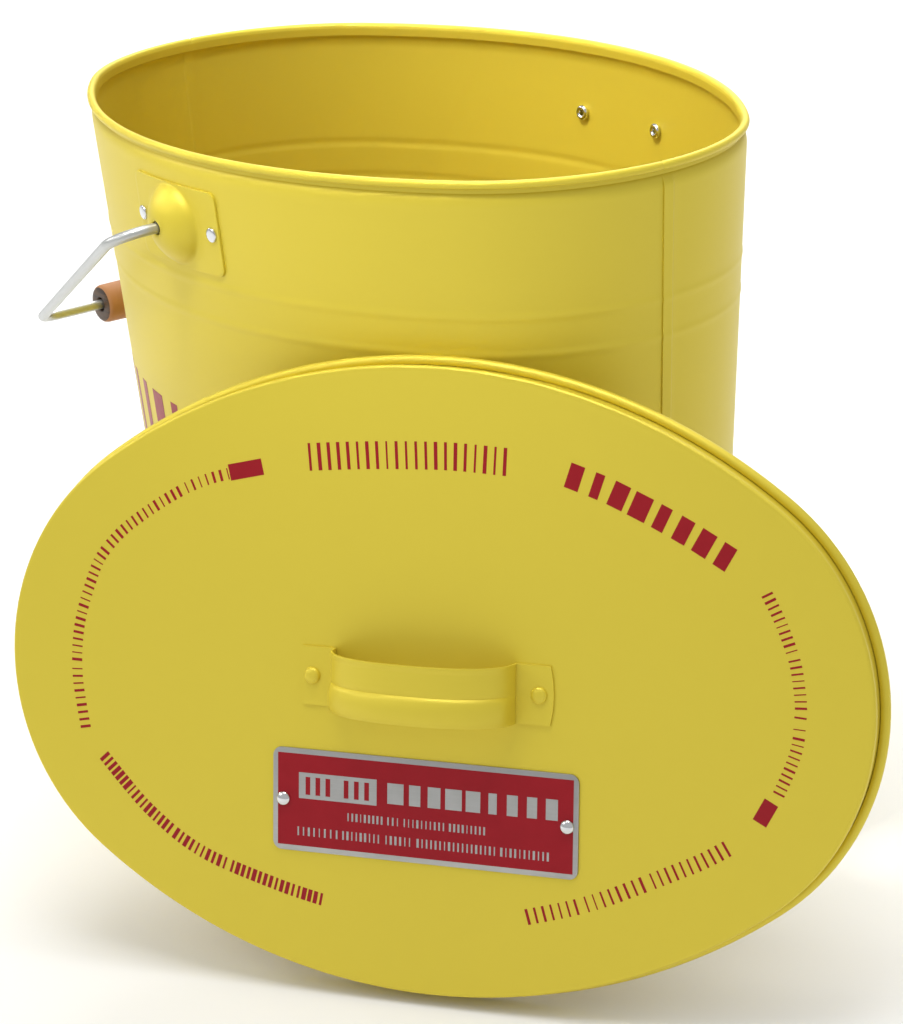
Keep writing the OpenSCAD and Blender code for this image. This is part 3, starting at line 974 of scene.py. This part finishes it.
@dataclass
class Ears:
    """The two ear plates with their domes, and the rivets that hold them."""

    pail: Pail
    pivot_z: float = 318.0
    half_w: float = 33.5
    half_h: float = 19.5
    corner: float = 4.0
    sheet: float = 1.0
    dome_r: float = 19.0
    dome_h: float = 10.0
    fillet: float = 2.2
    fullness: float = 2.5
    hole_r: float = 3.2
    pitch: float = 58.0
    head_r: float = 3.4
    head_h: float = 1.35
    head_fullness: float = 0.4
    tail_ring_r: float = 2.55
    tail_roll_r: float = 1.25
    tail_depth: float = 2.2

    def dome(self, r: float) -> float:
        """Height of the dome over the plate at a distance from its middle."""
        if r >= self.dome_r:
            return 0.0
        cap = self.dome_h * (1 - (r / self.dome_r) ** self.fullness)
        return cap * ramp(self.dome_r - r, -0.4 * self.fillet, self.fillet)

    def edge(self, turn: float) -> float:
        """Distance from the plate's middle to its edge."""
        c, s = abs(math.cos(turn)), abs(math.sin(turn))
        reach = min(self.half_w / max(c, 1e-9), self.half_h / max(s, 1e-9))
        cx, cy = self.half_w - self.corner, self.half_h - self.corner
        if reach * c > cx and reach * s > cy:
            b = c * cx + s * cy
            reach = b + math.sqrt(b * b - (cx * cx + cy * cy - self.corner**2))
        return reach

    def on_wall(self, side: int, x: float, z: float, lift: float) -> Solid:
        """A point that stands off the wall's flat side."""
        radius = self.pail.oval.side_r + self.pail.wall_at(z) + self.pail.gap + lift
        return x, side * (math.sqrt(radius * radius - x * x) - self.pail.oval.side_y), z

    def plate(self, name: str, side: int) -> Piece:
        """One ear: plate, fillet and dome in one sheet, with the bail's hole."""
        inner = [self.hole_r, self.hole_r + 0.25, self.hole_r + 0.7]
        inner += spread(self.hole_r + 1.6, self.dome_r - 4.4, 1.1)
        inner += spread(self.dome_r - 4.0, self.dome_r, 0.5)
        points: list[Solid] = []
        turns = [FULL_TURN * i / 160 for i in range(160)]
        profile: list[tuple[float, float, float]] = []
        for r in inner:
            lip = 0.3 * bump_shape((r - self.hole_r) / 0.7)
            profile.append((r, 0.0, self.sheet + self.dome(r) - lip))
        profile += [(0.0, k, self.sheet) for k in (0.3, 0.6, 0.88)]
        profile += [(-0.22, 1.0, self.sheet), (-0.06, 1.0, self.sheet - 0.08), (0.0, 1.0, self.sheet - 0.3)]
        profile += [(0.0, 1.0, 0.0)]
        profile += [(0.0, k, 0.0) for k in (0.88, 0.6, 0.3)]
        profile += [(r, 0.0, self.dome(r)) for r in reversed(inner)]
        for fixed, share, lift in profile:
            for turn in turns:
                r = fixed if share == 0 else self.dome_r + (self.edge(turn) - self.dome_r) * share + fixed
                x, z = r * math.cos(turn), self.pivot_z + r * math.sin(turn)
                points.append(self.on_wall(side, x, z, lift))
        faces = grid_faces(len(profile), len(turns), True, True)
        return build(name, points, faces, pail_place(), 30.0)

    def rivet_seats(self, lift: float, inward: bool) -> Mesh:
        """Points on the four rivets' axes, at a height over the wall."""
        slope = math.atan(self.pail.taper / self.pail.height)
        swing = math.asin(self.pitch / 2 / self.pail.oval.side_r)
        points, facing = [], []
        for side in (-1, 1):
            for turn in (-swing, swing):
                a = side * math.pi / 2 + turn
                out = Vector((math.cos(a) * math.cos(slope), math.sin(a) * math.cos(slope), -math.sin(slope)))
                x, y = self.pail.oval.at(a, self.pail.wall_at(self.pivot_z))
                points.append(Vector((x, y, self.pivot_z)) + out * lift)
                facing.append(-out if inward else out)
        return seats(points, facing)

    def make(self, heads: RivetHeads, tails: RolledTails) -> None:
        """Builds, dresses and settles the ears and their rivets."""
        for name, side in (("ear_front", -1), ("ear_back", 1)):
            settle(self.plate(name + "_pressed", side), "pail", "yellow_enamel", Finish.ENAMEL, name)
        sizes = {"Head_Radius": self.head_r, "Head_Height": self.head_h, "Fullness": self.head_fullness}
        outside = heads.run(self.rivet_seats(self.sheet + FIT + 0.01, False), Finish.RIVET, **sizes)
        sizes = {"Ring_Radius": self.tail_ring_r, "Roll_Radius": self.tail_roll_r}
        inside = tails.run(self.rivet_seats(-self.tail_depth, True), Finish.RIVET, **sizes)
        rivets = join_meshes("ear_rivets", (outside, inside), pail_place(), ROUND_SHARP)
        nodes = [f"ear_rivet_{side}_{end}" for side in ("front", "back") for end in ("left", "right")]
        settle(rivets, "pail", "bare_rivet", Finish.RIVET, *nodes)


# ---- the bail


@dataclass
class Bail:
    """The bent wire and the wooden grip that turns on it."""

    wire_r: float = 2.5
    shoulder_r: float = 14.5
    bend_r: float = 14.0
    reach: float = 219.082
    in_y: float = 134.006
    out_y: float = 160.406
    cross_half: float = 95.0
    grip_half: float = 60.0
    grip_r: float = 10.0
    bore_r: float = 3.3
    sides: int = 20

    def bend(self, r: float, cx: float, cy: float, start_deg: float, end_deg: float) -> list[Solid]:
        """Points on a bend with the wire's heading, in degrees."""
        headings = [start_deg + (end_deg - start_deg) * i / 18 for i in range(19)]
        return [(x, y, t - 90) for (x, y), t in zip(curl((cx, cy), r, start_deg, end_deg, 18), headings)]

    def wire(self) -> Piece:
        """The wire, swept along its middle line, with an upset head at each end."""
        leg = math.degrees(math.atan((self.out_y - self.cross_half) / self.reach))
        turn_out = self.shoulder_r * math.tan(math.radians((90 + leg) / 2))
        turn_in = self.bend_r * math.tan(math.radians((90 - leg) / 2))
        head = [(0.0, 1.6), (0.0, 3.6), (0.4, 4.3), (1.2, 4.3), (1.7, 3.6), (1.9, 2.5)]
        half = [(0.0, self.in_y + up, 90.0, r) for up, r in head]
        bends = self.bend(self.shoulder_r, self.shoulder_r, self.out_y - turn_out, 180, 90 - leg)
        bends += self.bend(self.bend_r, self.reach - self.bend_r, self.cross_half - turn_in, 90 - leg, 0)
        half += [(x, y, h, self.wire_r) for x, y, h in bends]
        path = half + [(x, -y, 180 - h, r) for x, y, h, r in reversed(half)]
        points: list[Solid] = []
        for x, y, heading, r in path:
            h = math.radians(heading)
            for k in range(self.sides):
                t = FULL_TURN * k / self.sides
                side = r * math.cos(t)
                points.append((x - side * math.sin(h), y + side * math.cos(h), r * math.sin(t)))
        faces = grid_faces(len(path), self.sides, False, True)
        faces.append(tuple(range(self.sides)))
        faces.append(tuple(range((len(path) - 1) * self.sides, len(path) * self.sides)))
        return build("bail_wire_bent", points, faces, bail_place())

    def grip(self) -> Piece:
        """The turned grip: a slight barrel, rounded ends and a bore."""
        half, r = self.grip_half, self.grip_r
        outer = [(r - 0.35 * (y / half) ** 2, y) for y in spread(-half + 2.4, half - 2.4, 2.0)]
        left = [(r - 2.6, -half), (r - 1.3, -half + 0.35), (r - 0.65, -half + 1.1)]
        right = [(radius, -y) for radius, y in reversed(left)]
        loop = [(self.bore_r + 0.5, -half), *left, *outer, *right, (self.bore_r + 0.5, half)]
        loop += [(self.bore_r, half - 0.8), (self.bore_r, -half + 0.8)]
        sides = 48
        turns = [FULL_TURN * k / sides for k in range(sides)]
        points = [(self.reach + r * math.cos(t), y, r * math.sin(t)) for r, y in loop for t in turns]
        faces = grid_faces(len(loop), sides, True, True)
        ends = {0, 1, *range(len(loop) - 5, len(loop))}
        slots = [int(i // sides in ends) for i in range(len(faces))]
        return build("grip_turned", points, faces, bail_place(), 40.0, slots)

    def make(self) -> None:
        """Builds, dresses and settles the wire and the grip."""
        settle(self.wire(), "bail", "zinc_wire", Finish.ZINC, "bail_wire")
        settle(self.grip(), "grip", "turned_wood", (Finish.WOOD, Finish.END_GRAIN), "grip")


# ---- the lid


@dataclass
class Lid:
    """The lid's panel, skirt, handle, nameplate, rivets and print."""

    oval: Oval = field(default_factory=Oval)
    inner: float = 6.0
    sheet: float = 0.6
    bead_r: float = 2.4
    bead_mid: float = 8.4
    bead_drop: float = 13.6
    edge: float = 7.75
    lip: float = 2.6
    strap_half: float = 13.0
    strap_t: float = 0.9
    arch_half: float = 42.0
    arch_h: float = 24.0
    tab: float = 15.0
    handle_pitch: float = 104.0
    plate_size: tuple[float, float, float] = (141.0, 46.0, 0.8)
    plate_corner: float = 4.0
    plate_y: float = -56.0
    plate_pitch: float = 131.0
    film: float = 0.06

    def panel(self) -> Piece:
        """The flat panel, turned down over the skirt round its edge."""
        roll, wall, edge = 1.3, self.inner + self.sheet + 0.1, self.inner + 0.2
        lip = curl((self.edge - roll, -roll), roll, 84, 0, 9) + [(self.edge, -self.lip)]
        lip += [(self.edge - 0.5, -self.lip - 0.15), (wall, -self.lip), (wall, -self.sheet)]
        return oval_sheet("lid_panel_turned", self.oval, edge, 0.0, self.sheet, lid_place(), lip=lip)

    def skirt(self) -> Piece:
        """The skirt, with a flange under the panel and its lower edge rolled outward."""
        under = -self.sheet - 0.05
        wall = self.inner + self.sheet
        middle = (self.bead_mid, -self.bead_drop)
        loop = [(self.inner - 4, under), (wall - 0.3, under), (wall, under - 0.3)]
        loop += [(wall, 2.4 - self.bead_drop)]
        loop += curl(middle, self.bead_r - self.sheet, 172, 490, 30)
        loop += curl(middle, self.bead_r, 490, 178, 34)
        loop += [(self.inner, 2 - self.bead_drop), (self.inner, under - 1.2)]
        loop += [(self.inner - 0.5, under - self.sheet), (self.inner - 4, under - self.sheet)]
        return sweep("lid_skirt_rolled", self.oval, self.oval.ring(5.0), lambda _: loop, lid_place(), True)

    def strap_path(self) -> list[tuple[float, float, float]]:
        """The handle's underside from one end to its middle: along, out, and how far it is arch."""
        out = [(self.arch_half + self.tab - k, 0.05, 0.0) for k in spread(0, self.tab - 0.9, 2.4)]
        rise = self.arch_h - self.strap_t
        steps = 34
        for i in range(steps + 1):
            t = math.pi / 2 * i / steps
            x = (self.arch_half - 0.9) * math.cos(t) ** 0.8
            out.append((x, 0.5 + (rise - 0.5) * math.sin(t) ** 0.95, ramp(i / steps, 0.04, 0.3)))
        return out

    def strap_section(self, arch: float) -> list[Flat]:
        """Across the strap: place and how far it stands out, from its lower edge to its upper one."""
        found = []
        for y in spread(-self.strap_half, self.strap_half, 0.8):
            roll = 1.7 * max(0.0, 1 - ((y + 6.9) / 6.4) ** 2) ** 0.7 if y < -0.4 else 0.0
            crease = -0.35 * bump_shape((y + 0.2) / 1.2)
            upper = 0.45 * bump_shape((y - 12.2) / 2.2)
            found.append((y, arch * (roll + crease + upper)))
        return found

    def handle(self) -> Piece:
        """The strap: a bow between two knees, with a rolled lower half, and a flat foot at each end."""
        half = self.strap_path()
        path = half + [(-x, out, arch) for x, out, arch in reversed(half[:-1])]
        points: list[Solid] = []
        for i, (x, out, arch) in enumerate(path):
            before, after = path[max(0, i - 1)], path[min(len(path) - 1, i + 1)]
            way = Vector((after[0] - before[0], after[1] - before[1])).normalized()
            normal = Vector((way.y, -way.x))
            if normal.y < 0 or (abs(normal.y) < EPSILON and normal.x * x < 0):
                normal = -normal
            across = self.strap_section(arch)
            bowed = (x - self.arch_half) / self.tab if arch == 0.0 and x > 0 else 0.0
            loop = [(y, stand + self.strap_t) for y, stand in across]
            loop += [(y, stand) for y, stand in reversed(across)]
            for y, stand in loop:
                bow = bowed * 1.6 * (1 - (y / self.strap_half) ** 2)
                points.append((x + bow + normal.x * stand, y, out + normal.y * stand))
        count = 2 * len(self.strap_section(0.0))
        faces = grid_faces(len(path), count, False, True)
        faces += end_caps((0, (len(path) - 1) * count), count)
        return build("lid_handle_bowed", points, faces, lid_place(), 32.0)

    def nameplate(self) -> Piece:
        """The plate, with rounded corners and a softened edge."""
        w, h, thick = self.plate_size
        levels = [(0.0, FIT), (0.0, FIT + thick - 0.2), (0.06, FIT + thick - 0.06), (0.22, FIT + thick)]
        points: list[Solid] = []
        for inset, z in levels:
            for sx, sy, start in ((1, -1, -90), (1, 1, 0), (-1, 1, 90), (-1, -1, 180)):
                centre = (sx * (w / 2 - self.plate_corner), self.plate_y + sy * (h / 2 - self.plate_corner))
                corner = curl(centre, self.plate_corner - inset, start, start + 90, 8)
                points += [(*p, z) for p in corner]
        count = len(points) // len(levels)
        faces = grid_faces(len(levels), count, False, True)
        faces += [tuple(range(count)), tuple(range((len(levels) - 1) * count, len(levels) * count))]
        return build("nameplate_cut", points, faces, lid_place(), 30.0)

    def settle_marks(self, name: str, parts: list[Mesh], finish: Finish) -> None:
        """Joins films on the nameplate into a piece and settles it."""
        settle(join_meshes(name, parts, lid_place()), "lid", "etched_aluminium", finish)

    def make_nameplate(self, bars: PrintedBars) -> None:
        """Builds, dresses and settles the plate, its red field and its plain marks."""
        settle(self.nameplate(), "lid", "etched_aluminium", Finish.PLATE, "nameplate")
        w, h, thick = self.plate_size
        top = FIT + thick
        red = [film_block((0.0, self.plate_y), w - 4.6, h - 4.8, top - 0.02, 0.05)]
        self.settle_marks("nameplate_field", red, Finish.FIELD)
        rows = (
            PrintRow(((-13.0, -49.2), (58.5, -49.2)), 9.2, 8.9, 5.6),
            PrintRow(((-35.0, -61.6), (28.0, -61.6)), 3.6, 1.9, 0.7, (5, 1, 4, 5), 2.6),
            PrintRow(((-58.5, -70.0), (57.0, -70.0)), 3.9, 2.0, 0.75, (5, 2, 5, 3, 10, 9), 3.0),
        )
        mark_x, mark_y = -40.0, -49.4
        parts = [film_block((mark_x, mark_y), 36.5, 11.6, top + 0.02, 0.05)]
        for index, row in enumerate(rows):
            for mesh in row.bars(bars, Finish.PLATE, self.film, 40 + 10 * index):
                mesh.transform(Matrix.Translation((0.0, 0.0, top + 0.035)))
                parts.append(mesh)
        self.settle_marks("nameplate_marks", parts, Finish.PLATE)
        places = (-14.0, -9.3, -4.6, 4.0, 8.8, 13.6)
        notches = [film_block((mark_x + x, mark_y), 2.2, 8.0, top + 0.06, 0.03) for x in places]
        self.settle_marks("nameplate_notches", notches, Finish.FIELD)

    def print_rows(self) -> tuple[PrintRow, ...]:
        """The rows of print round the panel."""
        return (
            PrintRow(((-54, 95.6), (-32, 97.6), (-10, 99.0), (12, 99.7), (35, 98.9)), 12.0, 4.4, 1.3),
            PrintRow(
                ((66, 94.3), (80, 89.8), (91, 85.3), (101, 81.0), (110, 76.8), (120, 71.8), (132, 65.2)),
                11.0, 10.0, 6.6,
            ),
            PrintRow(
                ((150.5, 50.5), (155.7, 41), (160, 31.3), (163.3, 22), (165, 13), (166, 4.7),
                 (165.7, -3.7), (165, -12), (162.3, -21.3), (157.6, -33)),
                5.2, 2.6, 0.8, (5, 4, 1, 5), 4.0,
            ),
            PrintRow(
                ((48, -97.6), (66.7, -92), (81.7, -86.3), (96.7, -79.3), (111.7, -72), (125, -65.3),
                 (135.5, -58.8)),
                7.0, 3.4, 0.9, (5, 6, 8), 5.0,
            ),
            PrintRow(
                ((-152.5, -45.5), (-141.7, -57), (-133.3, -65.3), (-125, -72), (-115, -79),
                 (-103.3, -85), (-90, -89.6), (-75, -93.8), (-61.7, -97.2), (-48, -100)),
                5.6, 2.7, 1.5, (10, 6, 10), 3.6,
            ),
            PrintRow(
                ((-162, -32.5), (-164.3, -20.3), (-165.7, -10.3), (-165.9, 1.3), (-164.7, 13),
                 (-162.3, 23), (-159, 33), (-155, 43), (-149, 51.3), (-141.7, 58.7), (-131.7, 66.3),
                 (-121.7, 73), (-111.7, 78.7), (-101.7, 83), (-92.5, 85.8)),
                5.0, 3.1, 0.9, (5, 10, 8, 4), 4.2,
            ),
        )

    def make_print(self, bars: PrintedBars) -> None:
        """Builds, dresses and settles the print on the panel."""
        parts = []
        for index, row in enumerate(self.print_rows()):
            parts += row.bars(bars, Finish.PRINT, self.film, 100 + 10 * index)
        for x, y, w, h, turn in ((-84.0, 88.2, 16.0, 7.2, 13.0), (152.0, -41.6, 6.6, 10.6, -28.0)):
            mark = film_block((0.0, 0.0), w, h, -self.film / 2, self.film)
            mark.transform(Matrix.Translation((x, y, 0.0)) @ Matrix.Rotation(math.radians(turn), 4, "Z"))
            parts.append(mark)
        shown = join_meshes("lid_print", parts, lid_place() @ Matrix.Translation((0.0, 0.0, self.film / 2)))
        settle(shown, "lid", "yellow_enamel", Finish.PRINT)

    def make(self, heads: RivetHeads, bars: PrintedBars) -> None:
        """Builds, dresses and settles the lid's pieces."""
        shapes = {"lid_panel": self.panel, "lid_skirt": self.skirt, "lid_handle": self.handle}
        for node, shape in shapes.items():
            settle(shape(), "lid", "yellow_enamel", Finish.ENAMEL, node)
        dress(frame["nodes"]["lid_wire"], Finish.ZINC)
        self.make_nameplate(bars)
        self.make_print(bars)
        foot, face = FIT + self.strap_t, FIT + self.plate_size[2]
        for kind, pitch, y, seat, radius, height, finish, slot in (
            ("handle_rivet", self.handle_pitch, 0.0, foot, 3.7, 2.1, Finish.ENAMEL, "yellow_enamel"),
            ("plate_rivet", self.plate_pitch, self.plate_y, face, 3.2, 2.0, Finish.RIVET, "bare_rivet"),
        ):
            base = seats([Vector((x, y, seat)) for x in (-pitch / 2, pitch / 2)], [Vector((0, 0, 1))] * 2)
            mesh = heads.run(base, finish, Head_Radius=radius, Head_Height=height, Fullness=0.75)
            piece = join_meshes(kind + "s", (mesh,), lid_place(), ROUND_SHARP)
            settle(piece, "lid", slot, finish, kind + "_left", kind + "_right")


@dataclass
class WallPrint:
    """The large print low on the pail's front, as plain bars that follow the wall."""

    pail: Pail
    top: float = 224.0
    height: float = 46.0
    half_length: float = 146.0
    film: float = 0.08

    def make(self, bars: PrintedBars) -> None:
        """Builds, dresses and settles the bars."""
        middle = self.top - self.height / 2
        ends = ((-self.half_length, middle), (self.half_length, middle))
        parts = PrintRow(ends, self.height, 21.0, 11.0).bars(bars, Finish.PRINT, self.film, 7, 0.35)
        for mesh in parts:
            work = bmesh.new()
            work.from_mesh(mesh)
            cuts = [e for e in work.edges if abs(e.verts[0].co.y - e.verts[1].co.y) > 1]
            bmesh.ops.subdivide_edges(work, edges=cuts, cuts=47, use_grid_fill=True)
            for vertex in work.verts:
                turn = self.pail.oval.walk(vertex.co.x)
                lift = 0.03 if vertex.co.z < 0 else 0.03 + self.film
                x, y = self.pail.oval.at(turn, self.pail.face(vertex.co.y) + lift)
                vertex.co = Vector((x, y, vertex.co.y))
            work.to_mesh(mesh)
            work.free()
        shown = join_meshes("wall_print", parts, pail_place(), 60.0)
        settle(shown, "pail", "yellow_enamel", Finish.PRINT)


# ---- the studio


@dataclass
class Studio:
    """Floor, light and camera."""

    eye: Solid = (1.2636, -0.8621, 0.7165)
    azimuth: float = 0.9678
    pitch: float = 0.3418
    roll: float = -0.0606
    focal: float = 3521.7
    picture: tuple[int, int] = (903, 1024)
    sensor: float = 36.0
    floor_half: float = 6.0
    world_strength: float = 0.56

    def camera(self) -> None:
        """Makes the camera at the viewing angle."""
        c, s = math.cos(self.azimuth), math.sin(self.azimuth)
        cp, sp = math.cos(self.pitch), math.sin(self.pitch)
        right = Vector((c, s, 0))
        ahead = Vector((-s * cp, c * cp, -sp))
        up = Vector((-s * sp, c * sp, cp))
        cr, sr = math.cos(self.roll), math.sin(self.roll)
        across = right * cr + up * sr
        above = up * cr - right * sr
        data = bpy.data.cameras.new("camera")
        data.sensor_fit = "VERTICAL"
        data.sensor_height = self.sensor
        data.lens = self.focal * self.sensor / self.picture[1]
        data.clip_start = 0.05
        made = make_object("camera", data)
        turn = Matrix((across, above, -ahead)).transposed().to_4x4()
        made.matrix_world = Matrix.Translation(Vector(self.eye)) @ turn
        bpy.context.scene.camera = made

    def softbox(
        self, name: str, place: Solid, aim: Solid, size: Flat, power: float, spread_deg: float = 180.0
    ) -> None:
        """Makes one area light that faces a point."""
        data = bpy.data.lights.new(name, "AREA")
        data.shape = "RECTANGLE"
        data.size, data.size_y = size
        data.energy = power
        data.spread = math.radians(spread_deg)
        made = make_object(name, data)
        made.location = place
        made.rotation_euler = (Vector(aim) - Vector(place)).to_track_quat("-Z", "Y").to_euler()

    def light(self) -> None:
        """Makes the surrounding light and the softboxes."""
        world = bpy.data.worlds.new("white_room")
        world.use_nodes = True
        sky = world.node_tree.nodes["Background"].inputs
        sky[0].default_value, sky[1].default_value = (1.0, 1.0, 1.0, 1.0), self.world_strength
        bpy.context.scene.world = world
        bpy.context.scene.view_settings.view_transform = "Standard"
        for lamp in (
            ("softbox_front", (-0.6, -1.9, 1.5), (0.0, 0.0, 0.2), (1.4, 1.2), 7.5),
            ("softbox_high", (0.1, -0.2, 2.3), (0.0, 0.0, 0.2), (1.2, 1.2), 24.0),
            ("window_left", (-1.3, -0.9, 0.98), (0.0, -0.1, 0.3), (0.26, 0.34), 3.6),
            ("gridded_lamp", (0.1, -0.5, 1.4), (-0.05, 0.12, 0.3), (0.22, 0.22), 0.42, 24.0),
            ("backdrop_light", (-1.9, 1.9, 2.2), (-1.8, 1.8, 0.0), (2.4, 2.4), 70.0),
        ):
            self.softbox(*lamp)

    def floor(self) -> None:
        """Makes the plain pale floor."""
        mesh = bpy.data.meshes.new("floor")
        corners = ((-1, -1), (1, -1), (1, 1), (-1, 1))
        half = self.floor_half
        mesh.from_pydata([(x * half, y * half, 0) for x, y in corners], [], [(0, 1, 2, 3)])
        made = make_object("floor", mesh)
        dress(made, Finish.FLOOR)

    def make(self) -> None:
        """Builds the whole studio."""
        self.camera()
        self.light()
        self.floor()


def main() -> None:
    """Builds every piece in order."""
    logging.basicConfig(level=logging.INFO, format="%(name)s %(message)s")
    Studio().make()
    heads, tails, bars = RivetHeads(), RolledTails(), PrintedBars()
    pail = Pail()
    pail.make()
    Ears(pail).make(heads, tails)
    WallPrint(pail).make(bars)
    Bail().make()
    Lid().make(heads, bars)


if __name__ == "__main__":
    main()
